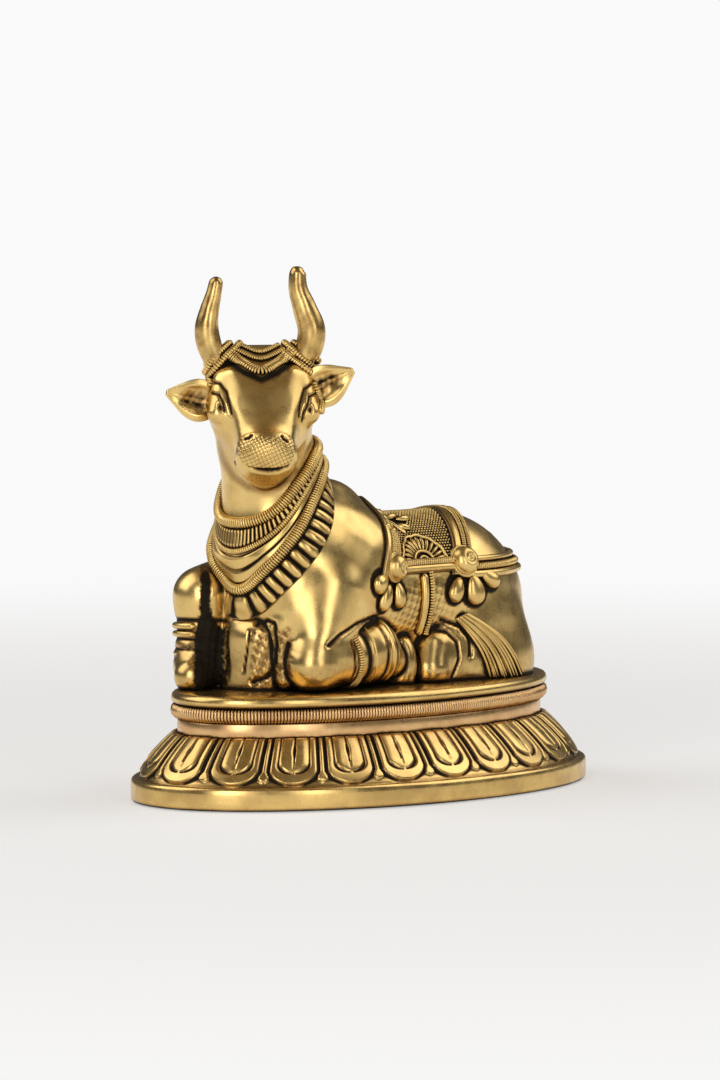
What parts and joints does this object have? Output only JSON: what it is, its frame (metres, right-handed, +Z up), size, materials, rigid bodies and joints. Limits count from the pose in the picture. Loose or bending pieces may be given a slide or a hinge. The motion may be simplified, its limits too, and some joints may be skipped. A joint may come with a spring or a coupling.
{
  "type": "nandi bull figure",
  "caption": "Couchant humped bull with necklaces and a saddle cloth, cast in one piece with an oval lotus plinth; stands on a flat underside.",
  "frame": {"origin": "centre of the plinth's flat underside", "axes": "+Z up, +X towards the bull's left side, -Y towards the front of its body, so the plinth's long side runs along Y"},
  "size_m": [0.074, 0.124, 0.1199],
  "materials": {
    "cast_brass": "polished by hand, with black and brown patina left in the recesses"
  },
  "bodies": {
    "root": {"nandi_figure": "cast_brass"}
  },
  "joints": []
}
